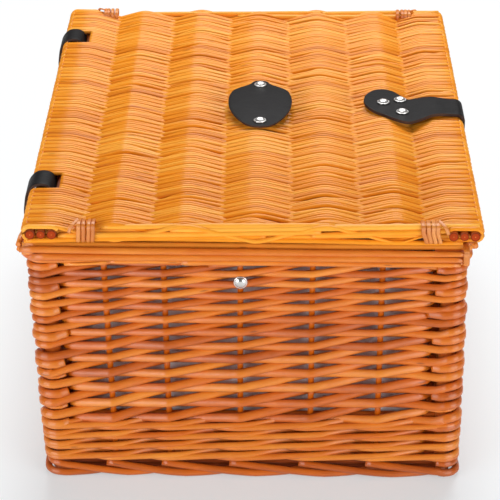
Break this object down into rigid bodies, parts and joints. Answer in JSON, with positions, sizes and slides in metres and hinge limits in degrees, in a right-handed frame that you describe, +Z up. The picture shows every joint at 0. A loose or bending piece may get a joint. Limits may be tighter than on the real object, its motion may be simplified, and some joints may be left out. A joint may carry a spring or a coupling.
{
  "type": "picnic basket",
  "caption": "Rectangular wicker picnic basket with a flat lid on leather strap hinges, a leather closing strap with a turn lock, and a grey fabric lining.",
  "frame": {"origin": "on the ground, under the middle of the basket's bounding box", "axes": "+X along the length, -Y to the front with the closing strap, +Z up"},
  "size_m": [0.456, 0.3383, 0.2219],
  "materials": {
    "lid_willow": "varnished honey willow",
    "wall_willow": "varnished orange willow",
    "stick": "varnished willow stick",
    "split_willow": "split willow skein",
    "black_leather": "smooth black",
    "nickel": "polished nickel",
    "grey_lining": "plain woven cotton"
  },
  "bodies": {
    "basket": {"corner_post_far_back": "stick", "corner_post_far_front": "stick", "corner_post_near_back": "stick", "corner_post_near_front": "stick", "end_rivet_far": "nickel", "end_rivet_near": "nickel", "floor_stick_1": "stick", "floor_stick_2": "stick", "floor_stick_3": "stick", "floor_weave": "wall_willow", "foot_back": "stick", "foot_far_end": "stick", "foot_front": "stick", "foot_near_end": "stick", "hinge_rivet_1": "nickel", "hinge_rivet_2": "nickel", "hinge_strap_1": "black_leather", "hinge_strap_2": "black_leather", "lining": "grey_lining", "lock_plate": "nickel", "lock_rivet_1": "nickel", "lock_rivet_2": "nickel", "rim_and_stakes_back": "stick", "rim_and_stakes_far_end": "stick", "rim_and_stakes_front": "stick", "rim_and_stakes_near_end": "stick", "wall_weave_back": "wall_willow", "wall_weave_far_end": "wall_willow", "wall_weave_front": "wall_willow", "wall_weave_near_end": "wall_willow"},
    "lid": {"closing_strap": "black_leather", "lid_border_far": "lid_willow", "lid_border_near": "lid_willow", "lid_lashing_far_back": "split_willow", "lid_lashing_far_front": "split_willow", "lid_lashing_near_back": "split_willow", "lid_lashing_near_front": "split_willow", "lid_patch": "black_leather", "lid_rib_1": "stick", "lid_rib_2": "stick", "lid_rib_3": "stick", "lid_rib_4": "stick", "lid_rib_5": "stick", "lid_side_stick_back_1": "stick", "lid_side_stick_back_2": "stick", "lid_side_stick_back_3": "stick", "lid_side_stick_front_1": "stick", "lid_side_stick_front_2": "stick", "lid_side_stick_front_3": "stick", "lid_weave": "lid_willow", "patch_rivet_1": "nickel", "patch_rivet_2": "nickel", "strap_rivet_1": "nickel", "strap_rivet_2": "nickel", "strap_rivet_3": "nickel"},
    "strap_tail": {"strap_tail": "black_leather", "strap_eyelet": "nickel"},
    "lock_button": {"lock_button": "nickel"}
  },
  "joints": [
    {"name": "lid_hinge", "type": "hinge", "parent": "basket", "child": "lid", "pos_m": [0, 0.167, 0.2008], "axis": [-1, 0, 0], "range_deg": [0, 110], "deforming": ["hinge_strap_1", "hinge_strap_2"]},
    {"name": "strap_flex", "type": "hinge", "parent": "lid", "child": "strap_tail", "pos_m": [-0.007, -0.1671, 0.2107], "axis": [-1, 0, 0], "range_deg": [0, 100]},
    {"name": "button_turn", "type": "hinge", "parent": "basket", "child": "lock_button", "pos_m": [-0.007, -0.16, 0.1647], "axis": [0, -1, 0], "range_deg": [0, 90]}
  ]
}
